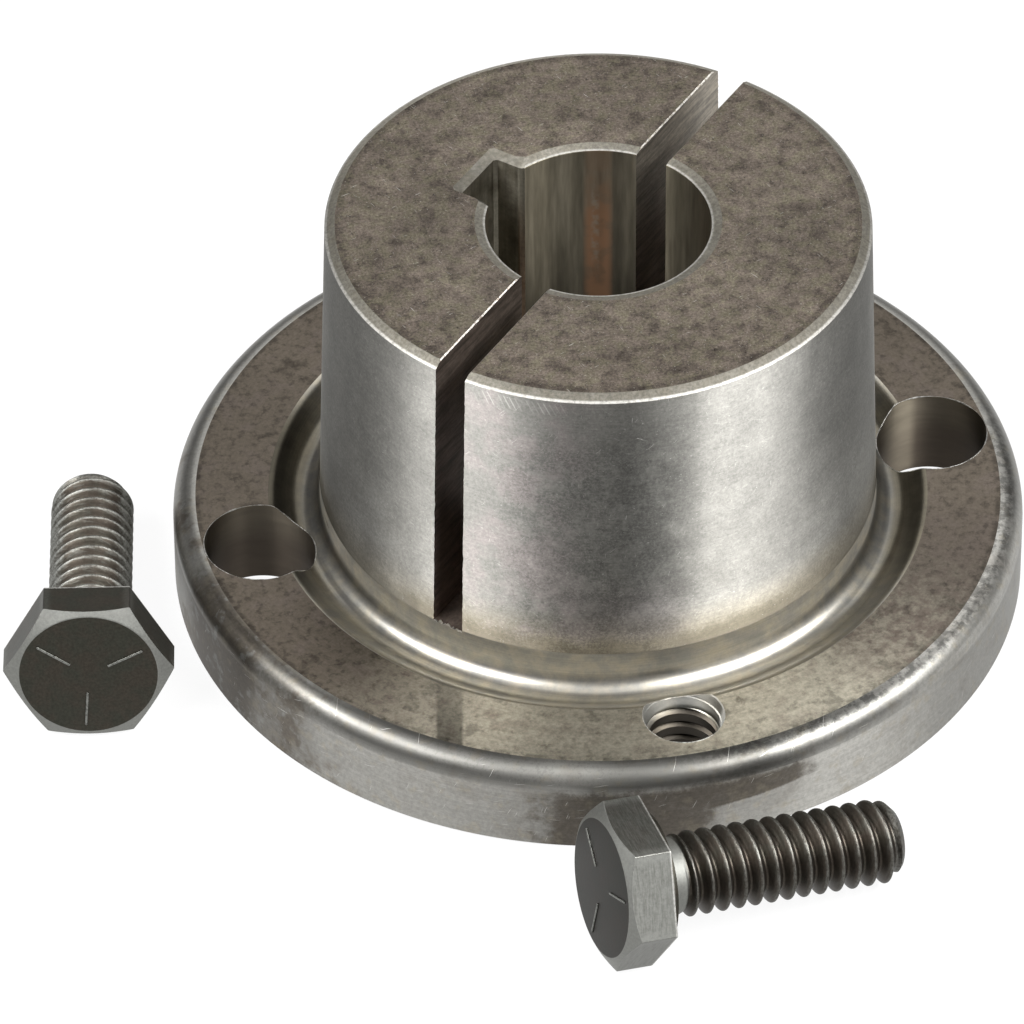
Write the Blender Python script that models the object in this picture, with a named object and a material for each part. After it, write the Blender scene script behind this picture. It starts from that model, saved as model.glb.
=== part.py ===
# Split taper bushing with a flange, a keyed bore and two hexagon cap screws lying beside it.
# The origin is on the bore's axis, in the plane of the flange's back face, and +Z runs up the
# bore. The clearance holes lie on X, the tapped holes on Y. All lengths are in metres.

from math import asin, atan2, cos, pi, radians, sin, sqrt, tan

import bmesh
import bpy
from mathutils import Matrix, Vector

mm = 0.001

# flange
flange_diameter = 63.5 * mm
flange_thickness = 7.14 * mm
flange_front_round = 1.7 * mm
flange_back_chamfer = 0.3 * mm

# tapered barrel: the ledge is the part of the flange's front face that lies outside it
overall_length = 33.0 * mm
flange_ledge_width = 10.955 * mm
taper_on_diameter = 1 / 16
barrel_end_chamfer_width = 0.74 * mm
barrel_end_chamfer_height = 0.42 * mm

# round-bottomed relief groove at the barrel's foot, where the grinding wheel runs out
groove_radius = 2.2 * mm
groove_depth = 1.34 * mm

# bore and keyway
bore_diameter = 16.5 * mm
bore_mouth_width = 0.75 * mm
bore_mouth_depth = 0.2 * mm
bore_back_chamfer = 0.4 * mm
keyway_width = 4.76 * mm
keyway_wall_from_axis = 10.3 * mm
keyway_corner_chamfer = 0.3 * mm
keyway_angle = radians(135)

# saw cut through both walls of the barrel
slot_width = 2.38 * mm
slot_floor_height = 9.0 * mm
slot_offset = 0.3 * mm
slot_angle = radians(45)

# holes in the flange, all on one circle, which leaves this wall between a clearance hole and the rim
clearance_hole_diameter = 8.3 * mm
hole_to_rim_wall = 1.75 * mm
tap_drill_diameter = 5.1 * mm
tapped_mouth_clearance = 0.05 * mm

# cap screws
thread_diameter = 6.2 * mm
thread_pitch = 1.27 * mm
thread_depth_per_pitch = 0.6134
thread_crest_per_pitch = 1 / 8
thread_flank_angle = radians(30)
screw_length = 18.9 * mm
neck_length = 1.1 * mm
neck_diameter = 5.6 * mm
point_chamfer = 0.8 * mm
head_across_flats = 10.9 * mm
head_height = 3.85 * mm
head_chamfer_circle = 10.3 * mm
head_chamfer_angle = radians(30)
washer_face_diameter = 10.4 * mm
washer_face_thickness = 0.4 * mm
under_head_fillet = 0.4 * mm

# how each screw lies: the gap between its head's corners and the rim, how far its bearing face
# is from the axis that it lies across, and the way that its point looks
left_screw_clearance = 2.06 * mm
left_screw_offset = -6.1 * mm
left_screw_heading = radians(77.7)
right_screw_clearance = 2.26 * mm
right_screw_offset = -6.1 * mm
right_screw_heading = radians(7.3)

# smoothness
round_steps = 84
hole_steps = 32
thread_steps = 20
head_steps = 48
corner_steps = 4
fillet_steps = 3
groove_steps = 11
sharp_from_angle = radians(30)

# points closer together than this become one
weld_distance = 0.0001 * mm

# how far a cutter reaches past what it cuts
overshoot = 1.0 * mm


def arc(centre, radius, start, end, steps):
    """Points (r, z) on an arc about centre, from the start angle to the end angle."""
    angles = [start + (end - start) * i / steps for i in range(steps + 1)]
    return [(centre[0] + radius * cos(a), centre[1] + radius * sin(a)) for a in angles]


def barrel_radius(height):
    """The barrel's radius at a height above the flange's back face."""
    foot = flange_diameter / 2 - flange_ledge_width
    return foot - (height - flange_thickness) * taper_on_diameter / 2


def new_object(name, mesh, material=None):
    """Put a mesh in the scene as an object, shaded smooth up to its sharp edges."""
    obj = bpy.data.objects.new(name, mesh)
    bpy.context.scene.collection.objects.link(obj)
    mesh.shade_smooth()
    mesh.set_sharp_from_angle(angle=sharp_from_angle)
    if material:
        mesh.materials.append(material)
    return obj


def mesh_from(bm, name):
    """Turn a bmesh into a mesh, with its faces pointing out."""
    bmesh.ops.recalc_face_normals(bm, faces=bm.faces)
    mesh = bpy.data.meshes.new(name)
    bm.to_mesh(mesh)
    bm.free()
    return mesh


def turned(name, profile, steps, ring=True):
    """Spin a profile of (r, z) points about Z. A ring's profile is a closed loop, and any
    other profile starts and ends on the axis."""
    bm = bmesh.new()
    verts = [bm.verts.new((r, 0, z)) for r, z in profile]
    edges = [bm.edges.new(pair) for pair in zip(verts, verts[1:])]
    if ring:
        edges.append(bm.edges.new((verts[-1], verts[0])))
    bmesh.ops.spin(bm, geom=verts + edges, axis=(0, 0, 1), cent=(0, 0, 0), angle=2 * pi,
                   steps=steps, use_merge=True)
    bmesh.ops.remove_doubles(bm, verts=bm.verts, dist=weld_distance)
    return mesh_from(bm, name)


def lofted(name, rings):
    """Join closed rings of points, each with as many points, and cap the first and the last."""
    bm = bmesh.new()
    loops = [[bm.verts.new(point) for point in ring] for ring in rings]
    for low, high in zip(loops, loops[1:]):
        for i in range(len(low)):
            j = (i + 1) % len(low)
            bm.faces.new((low[i], low[j], high[j], high[i]))
    bm.faces.new(loops[0])
    bm.faces.new(loops[-1])
    return mesh_from(bm, name)


def cutter(name, mesh):
    """A helper object that is not part of the model."""
    obj = new_object(name, mesh)
    obj.hide_render = True
    obj.display_type = "WIRE"
    return obj


def boolean(obj, other, operation):
    """Add a Boolean modifier."""
    modifier = obj.modifiers.new(other.name, "BOOLEAN")
    modifier.operation = operation
    modifier.solver = "EXACT"
    modifier.object = other


def steel(name, colour, roughness):
    """A metal with the part's own colour."""
    material = bpy.data.materials.new(name)
    material.use_nodes = True
    shader = material.node_tree.nodes["Principled BSDF"]
    shader.inputs["Base Color"].default_value = (*colour, 1)
    shader.inputs["Metallic"].default_value = 1.0
    shader.inputs["Roughness"].default_value = roughness
    return material


def bushing_profile():
    """The turned section: down the outside from the bore's upper mouth, then up the bore."""
    bore = bore_diameter / 2
    rim = flange_diameter / 2
    top = overall_length
    end = barrel_radius(top - barrel_end_chamfer_height)
    groove_floor = flange_thickness - groove_depth
    groove_height = groove_floor + groove_radius
    groove_centre = (barrel_radius(groove_height) + groove_radius, groove_height)
    groove_lip = asin((flange_thickness - groove_height) / groove_radius)
    corner = (rim - flange_front_round, flange_thickness - flange_front_round)
    profile = [(bore, top - bore_mouth_depth), (bore + bore_mouth_width, top)]
    profile += [(end - barrel_end_chamfer_width, top), (end, top - barrel_end_chamfer_height)]
    profile += arc(groove_centre, groove_radius, -pi, groove_lip, groove_steps)
    profile += arc(corner, flange_front_round, pi / 2, 0, corner_steps)
    profile += [(rim, flange_back_chamfer), (rim - flange_back_chamfer, 0)]
    profile += [(bore + bore_back_chamfer, 0), (bore, bore_back_chamfer)]
    return profile


def keyway_outline(spread, wall_spread):
    """Half of the keyway's section widens by spread, and its wall moves out by wall_spread."""
    half = keyway_width / 2
    chamfer = keyway_corner_chamfer
    corner = sqrt((bore_diameter / 2) ** 2 - half ** 2)
    side = [(bore_diameter / 4, half + chamfer + spread), (corner - chamfer, half + chamfer + spread),
            (corner + chamfer, half + spread), (keyway_wall_from_axis + wall_spread, half + spread)]
    other_side = [(along, -across) for along, across in reversed(side)]
    return side + other_side


def keyway_cutter():
    """A bar with the key's section, which flares where it passes through the bore's mouth."""
    slope = bore_mouth_width / bore_mouth_depth
    mouth = overall_length - bore_mouth_depth
    levels = [(-overshoot, 0), (mouth, 0), (mouth + overshoot, slope * overshoot)]
    rings = [[(along, across, height) for along, across in keyway_outline(spread, spread)]
             for height, spread in levels]
    obj = cutter("keyway_cutter", lofted("keyway_cutter", rings))
    obj.rotation_euler.z = keyway_angle
    return obj


def slot_cutter():
    """The saw blade's path: straight across the barrel and down to the slot's floor."""
    bm = bmesh.new()
    bmesh.ops.create_cube(bm, size=1)
    height = overall_length + overshoot - slot_floor_height
    bmesh.ops.scale(bm, verts=bm.verts, vec=(flange_diameter, slot_width, height))
    bmesh.ops.translate(bm, verts=bm.verts, vec=(0, slot_offset, slot_floor_height + height / 2))
    obj = cutter("slot_cutter", mesh_from(bm, "slot_cutter"))
    obj.rotation_euler.z = slot_angle
    return obj


def drill(name, radius, angle, mouth_radius=None):
    """A drill on the hole circle, with a countersink at the front face for a tapped hole."""
    top = flange_thickness
    profile = [(0, -overshoot), (radius, -overshoot)]
    if mouth_radius:
        depth = mouth_radius - radius
        profile += [(radius, top - depth), (mouth_radius + overshoot, top + overshoot)]
    else:
        profile += [(radius, top + overshoot)]
    profile += [(0, top + overshoot)]
    obj = cutter(name, turned(name, profile, hole_steps, ring=False))
    circle = flange_diameter / 2 - hole_to_rim_wall - clearance_hole_diameter / 2
    obj.location = (circle * cos(angle), circle * sin(angle), 0)
    obj.rotation_euler.z = pi / hole_steps
    return obj


def make_bushing(material):
    """The one-piece steel body."""
    mesh = turned("bushing", bushing_profile(), round_steps)
    bushing = new_object("bushing", mesh, material)
    boolean(bushing, keyway_cutter(), "DIFFERENCE")
    boolean(bushing, slot_cutter(), "DIFFERENCE")
    mouth = thread_diameter / 2 + tapped_mouth_clearance
    for i, side in enumerate(("right", "left")):
        drilled = drill(f"clearance_drill_{side}", clearance_hole_diameter / 2, i * pi)
        boolean(bushing, drilled, "DIFFERENCE")
    for i, side in enumerate(("back", "front")):
        angle = pi / 2 + i * pi
        tapped = drill(f"tap_drill_{side}", tap_drill_diameter / 2, angle, mouth)
        boolean(bushing, tapped, "DIFFERENCE")
    return bushing


def thread_outline(turn):
    """Radius and height along the threaded shank, at a fraction of a turn about its axis."""
    depth = thread_depth_per_pitch * thread_pitch
    flank = depth * tan(thread_flank_angle)
    crest_width = thread_crest_per_pitch * thread_pitch
    crest = thread_diameter / 2
    root = crest - depth
    form = [(crest, 0), (crest, crest_width), (root, crest_width + flank), (root, thread_pitch - flank)]
    neck = neck_diameter / 2
    point = crest - point_chamfer
    outline = []
    for ridge in range(-2, int(screw_length / thread_pitch) + 2):
        for radius, offset in form:
            height = neck_length + (ridge + turn) * thread_pitch + offset
            height = min(max(height, neck_length), screw_length)
            from_neck = height - neck_length
            from_point = screw_length - height
            radius = min(max(radius, neck - from_neck), neck + from_neck)
            outline.append((min(radius, point + from_point), height))
    return outline


def screw_shank():
    """Washer face, fillet, neck and rolled thread, with the point at +Z."""
    neck = neck_diameter / 2
    washer = washer_face_diameter / 2
    middle = (neck + under_head_fillet, under_head_fillet)
    fillet = arc(middle, under_head_fillet, 1.5 * pi, pi, fillet_steps)
    under_head = [(0, -head_height / 2), (washer, -head_height / 2), (washer, 0)] + fillet
    bm = bmesh.new()
    columns = []
    for i in range(thread_steps + 1):
        angle = 2 * pi * i / thread_steps
        outline = under_head + thread_outline(i / thread_steps) + [(0, screw_length)]
        columns.append([bm.verts.new((r * cos(angle), r * sin(angle), z)) for r, z in outline])
    for left, right in zip(columns, columns[1:]):
        for i in range(len(left) - 1):
            bm.faces.new((left[i], right[i], right[i + 1], left[i + 1]))
    bmesh.ops.remove_doubles(bm, verts=bm.verts, dist=weld_distance)
    bmesh.ops.dissolve_degenerate(bm, edges=bm.edges, dist=weld_distance)
    return mesh_from(bm, "screw_shank")


def head_blank():
    """A hexagon bar, cut back at its corners by the head's chamfer cone."""
    corner_radius = head_across_flats / sqrt(3)
    bm = bmesh.new()
    bmesh.ops.create_circle(bm, cap_ends=True, segments=6, radius=corner_radius)
    bmesh.ops.translate(bm, verts=bm.verts, vec=(0, 0, -head_height))
    up = bmesh.ops.extrude_face_region(bm, geom=bm.faces[:])["geom"]
    raised = [v for v in up if isinstance(v, bmesh.types.BMVert)]
    bmesh.ops.translate(bm, verts=raised, vec=(0, 0, head_height - washer_face_thickness))
    head = cutter("head_blank", mesh_from(bm, "head_blank"))
    flat = head_chamfer_circle / 2
    reach = corner_radius + overshoot
    drop = (reach - flat) * tan(head_chamfer_angle)
    cone = [(0, -head_height), (flat, -head_height), (reach, drop - head_height), (reach, overshoot),
            (0, overshoot)]
    cone = cutter("head_cone", turned("head_cone", cone, head_steps, ring=False))
    cone.rotation_euler.z = pi / head_steps
    boolean(head, cone, "INTERSECT")
    return head


def screw_mesh():
    """One cap screw along +X, with its head's bearing face at x = 0."""
    shank = new_object("screw_shank", screw_shank())
    boolean(shank, head_blank(), "UNION")
    depsgraph = bpy.context.evaluated_depsgraph_get()
    mesh = bpy.data.meshes.new_from_object(shank.evaluated_get(depsgraph))
    mesh.name = "cap_screw"
    mesh.transform(Matrix.Rotation(pi / 2, 4, "Y"))
    for name in ("screw_shank", "head_blank", "head_cone"):
        bpy.data.objects.remove(bpy.data.objects[name], do_unlink=True)
    return mesh


def lay_screw(name, mesh, place, heading):
    """Lay a screw on the floor, on one flat of its head and on the last crest of its thread."""
    head_edge = Vector((-washer_face_thickness, 0, -head_across_flats / 2))
    last_crest = Vector((screw_length - point_chamfer, 0, -thread_diameter / 2))
    line = last_crest - head_edge
    tilt = atan2(line.z, line.x)
    turn = Matrix.Rotation(heading, 4, "Z") @ Matrix.Rotation(tilt, 4, "Y")
    screw = bpy.data.objects.new(name, mesh)
    bpy.context.scene.collection.objects.link(screw)
    lowest = (turn @ head_edge).z
    screw.matrix_world = Matrix.Translation((*place, -lowest)) @ turn
    return screw


def beside_rim(clearance):
    """How far out the middle of a screw's bearing face lies, for a gap between head and rim."""
    return flange_diameter / 2 + head_across_flats / sqrt(3) + clearance


def clear_scene():
    for obj in list(bpy.data.objects):
        bpy.data.objects.remove(obj, do_unlink=True)


clear_scene()
make_bushing(steel("turned_steel", (0.33, 0.31, 0.28), 0.38))
cap_screw = screw_mesh()
cap_screw.materials.clear()
cap_screw.materials.append(steel("dark_phosphate", (0.12, 0.11, 0.1), 0.5))
left_place = (-beside_rim(left_screw_clearance), left_screw_offset)
right_place = (right_screw_offset, -beside_rim(right_screw_clearance))
lay_screw("cap_screw_left", cap_screw, left_place, left_screw_heading)
lay_screw("cap_screw_right", cap_screw, right_place, right_screw_heading)
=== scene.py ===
# Quick disconnect bushing: steel body with a split taper, and its cap screws lying beside it.
from math import atan2, cos, pi, radians, sin, sqrt, tan

import bmesh
import bpy
from mathutils import Matrix, Vector, noise


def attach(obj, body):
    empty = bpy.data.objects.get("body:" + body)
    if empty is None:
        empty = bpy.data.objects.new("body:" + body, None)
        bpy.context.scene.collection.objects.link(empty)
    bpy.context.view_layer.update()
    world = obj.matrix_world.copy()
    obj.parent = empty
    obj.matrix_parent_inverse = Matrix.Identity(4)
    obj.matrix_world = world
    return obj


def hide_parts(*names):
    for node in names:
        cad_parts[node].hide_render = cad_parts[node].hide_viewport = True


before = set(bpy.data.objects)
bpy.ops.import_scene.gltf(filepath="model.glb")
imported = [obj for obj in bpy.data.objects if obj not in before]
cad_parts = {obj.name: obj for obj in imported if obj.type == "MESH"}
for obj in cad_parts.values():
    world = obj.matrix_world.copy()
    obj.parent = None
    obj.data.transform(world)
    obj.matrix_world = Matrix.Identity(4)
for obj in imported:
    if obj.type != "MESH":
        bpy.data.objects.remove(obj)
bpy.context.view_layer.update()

mm = 0.001
photoTurn = 13.377  # degrees from the part's front to the camera's side
holeCircle = 25.85  # millimetres from the axis to the middle of each flange hole
print("frame loaded:", sorted(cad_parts))


# materials

class Wire:
    # a node's output; arithmetic on it adds Math nodes to the same material
    def __init__(self, socket):
        self.socket = socket

    def node(self, kind, inputs=None, output=0, **settings):
        # any other node: its settings first, then its socket values and links
        tree = self.socket.id_data
        made = tree.nodes.new("ShaderNode" + kind)
        for name, value in settings.items():
            setattr(made, name, value)
        for key, value in (inputs or {}).items():
            if isinstance(value, Wire):
                tree.links.new(value.socket, made.inputs[key])
            else:
                made.inputs[key].default_value = value
        return Wire(made.outputs[output])

    def math(self, operation, first, second=0.0):
        return self.node("Math", {0: first, 1: second}, operation=operation)

    def __add__(self, other):
        return self.math("ADD", self, other)

    def __radd__(self, other):
        return self.math("ADD", other, self)

    def __sub__(self, other):
        return self.math("SUBTRACT", self, other)

    def __rsub__(self, other):
        return self.math("SUBTRACT", other, self)

    def __mul__(self, other):
        return self.math("MULTIPLY", self, other)

    def __rmul__(self, other):
        return self.math("MULTIPLY", other, self)

    def __truediv__(self, other):
        return self.math("DIVIDE", self, other)

    def __pow__(self, other):
        return self.math("POWER", self, other)

    def __abs__(self):
        return self.math("ABSOLUTE", self)


def band(value, low, high, start=0.0, end=1.0):
    # a value between low and high goes smoothly from start to end, and is held outside
    inputs = {"Value": value, "From Min": low, "From Max": high, "To Min": start, "To Max": end}
    return value.node("MapRange", inputs, interpolation_type="SMOOTHSTEP")


def speckle(vector, scale=1.0, detail=2.0, rough=0.5):
    return vector.node("TexNoise", {"Vector": vector, "Scale": scale, "Detail": detail, "Roughness": rough})


def tint(factor, first, second):
    # mixes two colours, each a tuple or a wire
    first, second = [(*c, 1) if isinstance(c, tuple) else c for c in (first, second)]
    return factor.node("Mix", {0: factor, 6: first, 7: second}, output=2, data_type="RGBA")


def shade(colour, factor):
    # darkens or brightens a colour by a factor
    grey = factor.node("CombineColor", {0: factor, 1: factor, 2: factor})
    colour = (*colour, 1) if isinstance(colour, tuple) else colour
    inputs = {0: 1.0, 6: colour, 7: grey}
    return factor.node("Mix", inputs, output=2, data_type="RGBA", blend_type="MULTIPLY")


def emptyMaterial(name):
    material = bpy.data.materials.new(name)
    material.use_nodes = True
    material.node_tree.nodes.clear()
    return material


class Look:
    # a metal's material, with the coordinates in millimetres that its pattern is drawn in
    def __init__(self, name, aniso=0.0, place=None):
        self.material = emptyMaterial(name)
        start = Wire(self.material.node_tree.nodes.new("ShaderNodeTexCoord").outputs["Object"])
        if place:
            inputs = {"Vector": start, "Location": place.translation, "Rotation": place.to_euler(),
                      "Scale": [mm] * 3}
            self.p = start.node("Mapping", inputs, vector_type="TEXTURE")
        else:
            self.p = start.node("VectorMath", {0: start, 3: 1 / mm}, operation="SCALE")
        split = self.p.node("SeparateXYZ", {0: self.p}).socket.node
        self.x, self.y, self.z = [Wire(socket) for socket in split.outputs]
        self.aniso = aniso

    def vector(self, x, y, z):
        return self.p.node("CombineXYZ", {0: x, 1: y, 2: z})

    def turned(self):
        # radius and direction about the part's axis
        self.r = (self.x * self.x + self.y * self.y) ** 0.5
        self.dx, self.dy = self.x / self.r, self.y / self.r
        # the length of arc from the camera's side, with its seam at the back
        c, s = cos(radians(photoTurn + 90)), sin(radians(photoTurn + 90))
        self.across, toFront = self.x * s + self.y * c, self.x * c - self.y * s
        self.arc = self.r * self.r.math("ARCTAN2", self.across, toFront)
        return self

    def ring(self, around, across, along=None):
        # coordinates that run round the axis without a seam
        along = self.z if along is None else along
        return self.vector(self.dx * around, self.dy * around, along * across)

    def side(self, azimuth, wide, soft=12):
        # one near an azimuth, nought away from it; azimuths go from the camera's side to the right
        a = radians(azimuth - photoTurn - 90)
        near = self.dx * cos(a) + self.dy * sin(a)
        return band(near, cos(radians(wide + soft)), cos(radians(max(wide - soft, 0))))

    def scratches(self, u, v, *strokes):
        # thin strokes on a surface measured by u and v, a little bent; the limit says how rare they are
        marks = []
        for angle, length, width, limit in strokes:
            c, s = cos(radians(angle)), sin(radians(angle))
            along, across = u * c + v * s, v * c - u * s + 0.8 * speckle(self.p, 0.4)
            noise = speckle(self.vector(along / length, across / width, 0.0), 1.0, 0.0)
            marks.append(band(noise, limit, limit + 0.05))
        return sum(marks[1:], marks[0])

    def done(self, colour, rough, height):
        # height is in millimetres
        nodes, links = self.material.node_tree.nodes, self.material.node_tree.links
        shader = nodes.new("ShaderNodeBsdfPrincipled")
        out = nodes.new("ShaderNodeOutputMaterial")
        bump = height.node("Bump", {"Height": height, "Distance": mm, "Strength": 1.0})
        shader.inputs["Metallic"].default_value = 1.0
        shader.inputs["Anisotropic"].default_value = self.aniso
        shader.inputs["Anisotropic Rotation"].default_value = 0.25
        links.new(colour.socket, shader.inputs["Base Color"])
        links.new(rough.socket, shader.inputs["Roughness"])
        links.new(bump.socket, shader.inputs["Normal"])
        links.new(shader.outputs[0], out.inputs[0])
        return self.material


# colours of the steel, from bare metal to oil stain; bright also serves for painted highlights and glints
tone = {
    "ground": (0.252, 0.247, 0.229), "warm": (0.275, 0.245, 0.185), "pink": (0.265, 0.235, 0.228),
    "olive": (0.131, 0.116, 0.085), "purple": (0.124, 0.103, 0.085), "beige": (0.27, 0.25, 0.2),
    "brown": (0.118, 0.099, 0.078), "bright": (0.6, 0.59, 0.56), "oil": (0.06, 0.049, 0.039),
    "rust": (0.27, 0.155, 0.09), "phosphate": (0.041, 0.041, 0.033), "worn": (0.205, 0.207, 0.192),
    "umber": (0.05, 0.042, 0.034), "sawn": (0.24, 0.19, 0.16),
}


def uneven(noise, least, most):
    # a factor that follows a noise over the middle half of its range
    return band(noise, 0.25, 0.75, least, most)


def endFaceLook():
    # an oily face with soft stains, pits, nicks and painted glints, duller towards its edge
    look = Look("endFace", 0.2).turned()
    cloud, wide = speckle(look.p, 0.55, 4, 0.6), speckle(look.p, 0.16, 2)
    grain, hue = speckle(look.p, 5, 4, 0.75), speckle(look.p, 1.1, 4, 0.7)
    turning = speckle(look.ring(0.6, 5, look.r), 1, 2)
    stains = band(speckle(look.p, 0.7, 4, 0.65), 0.55, 0.33)
    stains = stains + 0.6 * band(speckle(look.p, 1.9, 3, 0.6), 0.52, 0.3)
    pits, glints = band(speckle(look.p, 3.4, 1), 0.3, 0.25), band(speckle(look.p, 7, 1), 0.68, 0.74)
    nicks = look.scratches(look.x, look.y, (20, 1.1, 0.07, 0.83), (-65, 1.4, 0.06, 0.83))
    light = band(cloud, 0.3, 0.7, 0.88, 1.22) * uneven(grain, 0.5, 1.5) * (1 - 0.36 * stains)
    light = light * band(wide, 0.3, 0.7, 0.86, 1.1) * band(turning, 0.3, 0.7, 0.95, 1.05)
    light = light * band(look.r, 18.5, 18.95, 1.0, 0.75) * (1 - 0.5 * pits)
    colour = shade(tint(band(hue + 0.12 * stains, 0.38, 0.62), tone["olive"], tone["purple"]), light)
    colour = tint((nicks + 0.5 * glints) * 0.5, colour, tone["bright"])
    rough = 0.44 + 0.16 * grain - 0.1 * nicks
    return look.done(colour, rough, 0.005 * grain + 0.0012 * turning - 0.015 * pits)


def backFaceLook():
    # a plain turned surface with fine marks round the axis
    look = Look("backFace", 0.7).turned()
    lines, cloud = speckle(look.ring(3, 9, look.z + look.r), 1, 3, 0.6), speckle(look.p, 0.7, 4, 0.6)
    light = uneven(lines, 0.9, 1.08) * band(cloud, 0.3, 0.7, 0.85, 1.1)
    colour = shade(tint(band(cloud, 0.3, 0.75), tone["brown"], tone["olive"]), light)
    return look.done(colour, 0.4 + 0.08 * lines, 0.0025 * lines)


def ringLook(name, inner, outer):
    # a narrow machined edge: a rubbed bright line at one radius and a dull band up to the other, with painted
    # shade on the front and painted light at the back left
    look = Look(name, 0.3).turned()
    grain, cloud = speckle(look.p, 4, 3, 0.7), speckle(look.p, 0.9, 3, 0.6)
    line = band(look.r, inner, outer) * band(grain, 0.3, 0.6, 0.5, 1.0)
    colour = shade(tint(0.15 + 0.5 * cloud, tone["olive"], tone["ground"]), uneven(grain, 0.6, 1.1))
    # painted shade on the front, painted light at the back left
    colour = shade(colour, 1 - 0.22 * look.side(15, 38, 16) + 0.25 * look.side(-140, 30, 16))
    rough = 0.6 + 0.1 * grain - 0.1 * line
    return look.done(tint(line * 0.5, colour, tone["bright"]), rough, 0.006 * grain)


def combStrokes(look):
    # short slanted strokes left by handling just under the barrel's upper edge
    place = (look.arc + 0.5 * look.z) / 0.42
    tooth, number = place.math("FRACT", place), place.math("FLOOR", place)
    reach = speckle(look.vector(number * 1.7, 0.0, 0.0), 1, 0)
    stroke = band(abs(tooth - 0.5), 0.2, 0.04) * band(reach, 0.42, 0.6, 0.1, 1.0)
    return stroke * look.side(-17, 9, 3) * band(look.z, 31.1, 31.5) * band(look.z, 32.4, 32.2)


def taperLook():
    # a ground taper with a warm foot and handling marks, an oil film that also paints shade on its upper
    # front, painted light on its sides and low front, and painted glints
    look = Look("taper", 0.97).turned()
    fine, lines = speckle(look.ring(12, 18), 1, 2, 0.6), speckle(look.ring(5, 6), 1, 3, 0.6)
    cloud, smear = speckle(look.p, 0.3, 5, 0.65), speckle(look.p, 0.45, 4, 0.7)
    grain, sand = speckle(look.p, 3.5, 4, 0.75), speckle(look.p, 5.5, 3, 0.8)
    # an oil film that is also painted shade: it darkens the colour on the upper front
    oilFilmAndShade = look.side(-2, 15, 8) * band(look.z, 31, 26) * band(smear, 0.38, 0.55)
    oily = look.side(11, 8, 4) * band(look.z + 3 * smear, 14, 16) * band(smear, 0.25, 0.5, 0.6, 1.0)
    foot = band(look.z, 13.5, 9.5) * (0.5 + 0.5 * look.side(12, 45, 16))
    flanks = look.side(62, 16, 10) + look.side(-58, 10, 8)
    bare = band(look.z + 1.6 * smear, 12.0, 10.5) * (1 - 0.75 * flanks)
    pink = look.side(-18, 12, 8) * band(cloud, 0.42, 0.6) + look.side(5, 8, 8) * band(look.z, 17, 13) * 0.6
    pink = pink * (1 - 0.9 * bare)
    hair = look.scratches(look.arc, look.z, (50, 1.3, 0.05, 0.825), (-28, 1.7, 0.045, 0.825),
                          (84, 0.9, 0.05, 0.83))
    # painted glints: tiny bright flecks mixed into the colour
    paintedGlints = band(speckle(look.vector(look.arc * 1.3, look.z * 2.6, 0.0), 3, 1), 0.71, 0.76)
    bright = combStrokes(look) * 0.32 + hair * 0.5 + paintedGlints * 0.35
    calm = band(look.z + 1.6 * smear, 9.6, 11.2, 0.3, 1.0)
    light = uneven(fine, 0.93, 1.07) * band(lines, 0.28, 0.72, 0.95, 1.04) * band(cloud, 0.3, 0.7, 0.84, 1.08)
    light = light * (1 + (uneven(grain, 0.82, 1.15) * band(sand, 0.3, 0.7, 0.9, 1.1) - 1) * calm)
    # painted light: lighter near the foot, on both sides lower down, and on the low front
    light = light * band(look.z, 9.0, 20, 1.1, 0.96) * (1 - 0.3 * oily)
    light = light * (1 - 0.3 * oilFilmAndShade * band(sand, 0.6, 0.42, 0.35, 1.0))
    paintedSideLight = 0.55 * look.side(62, 12, 8) + 0.25 * look.side(-56, 8, 8)
    paintedFrontLight = 0.85 * look.side(0, 12, 8) - 0.12 * look.side(30, 12, 8)
    light = light * (1 + paintedSideLight * band(look.z, 24, 13)) * (1 + paintedFrontLight * band(look.z + 0.8 * smear, 12, 10))
    colour = tint(bare * 0.7, tint(foot * 0.8, tone["ground"], tone["warm"]), tone["olive"])
    colour = shade(tint(pink * 0.6, colour, tone["pink"]), light)
    rough = 0.42 + 0.06 * lines + 0.06 * fine + 0.1 * cloud + 0.06 * grain + 0.05 * oilFilmAndShade
    height = 0.0015 * (fine + lines) + 0.003 * calm * (grain + sand) + 0.004 * bright
    return look.done(tint(bright, colour, tone["bright"]), rough, height)


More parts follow.
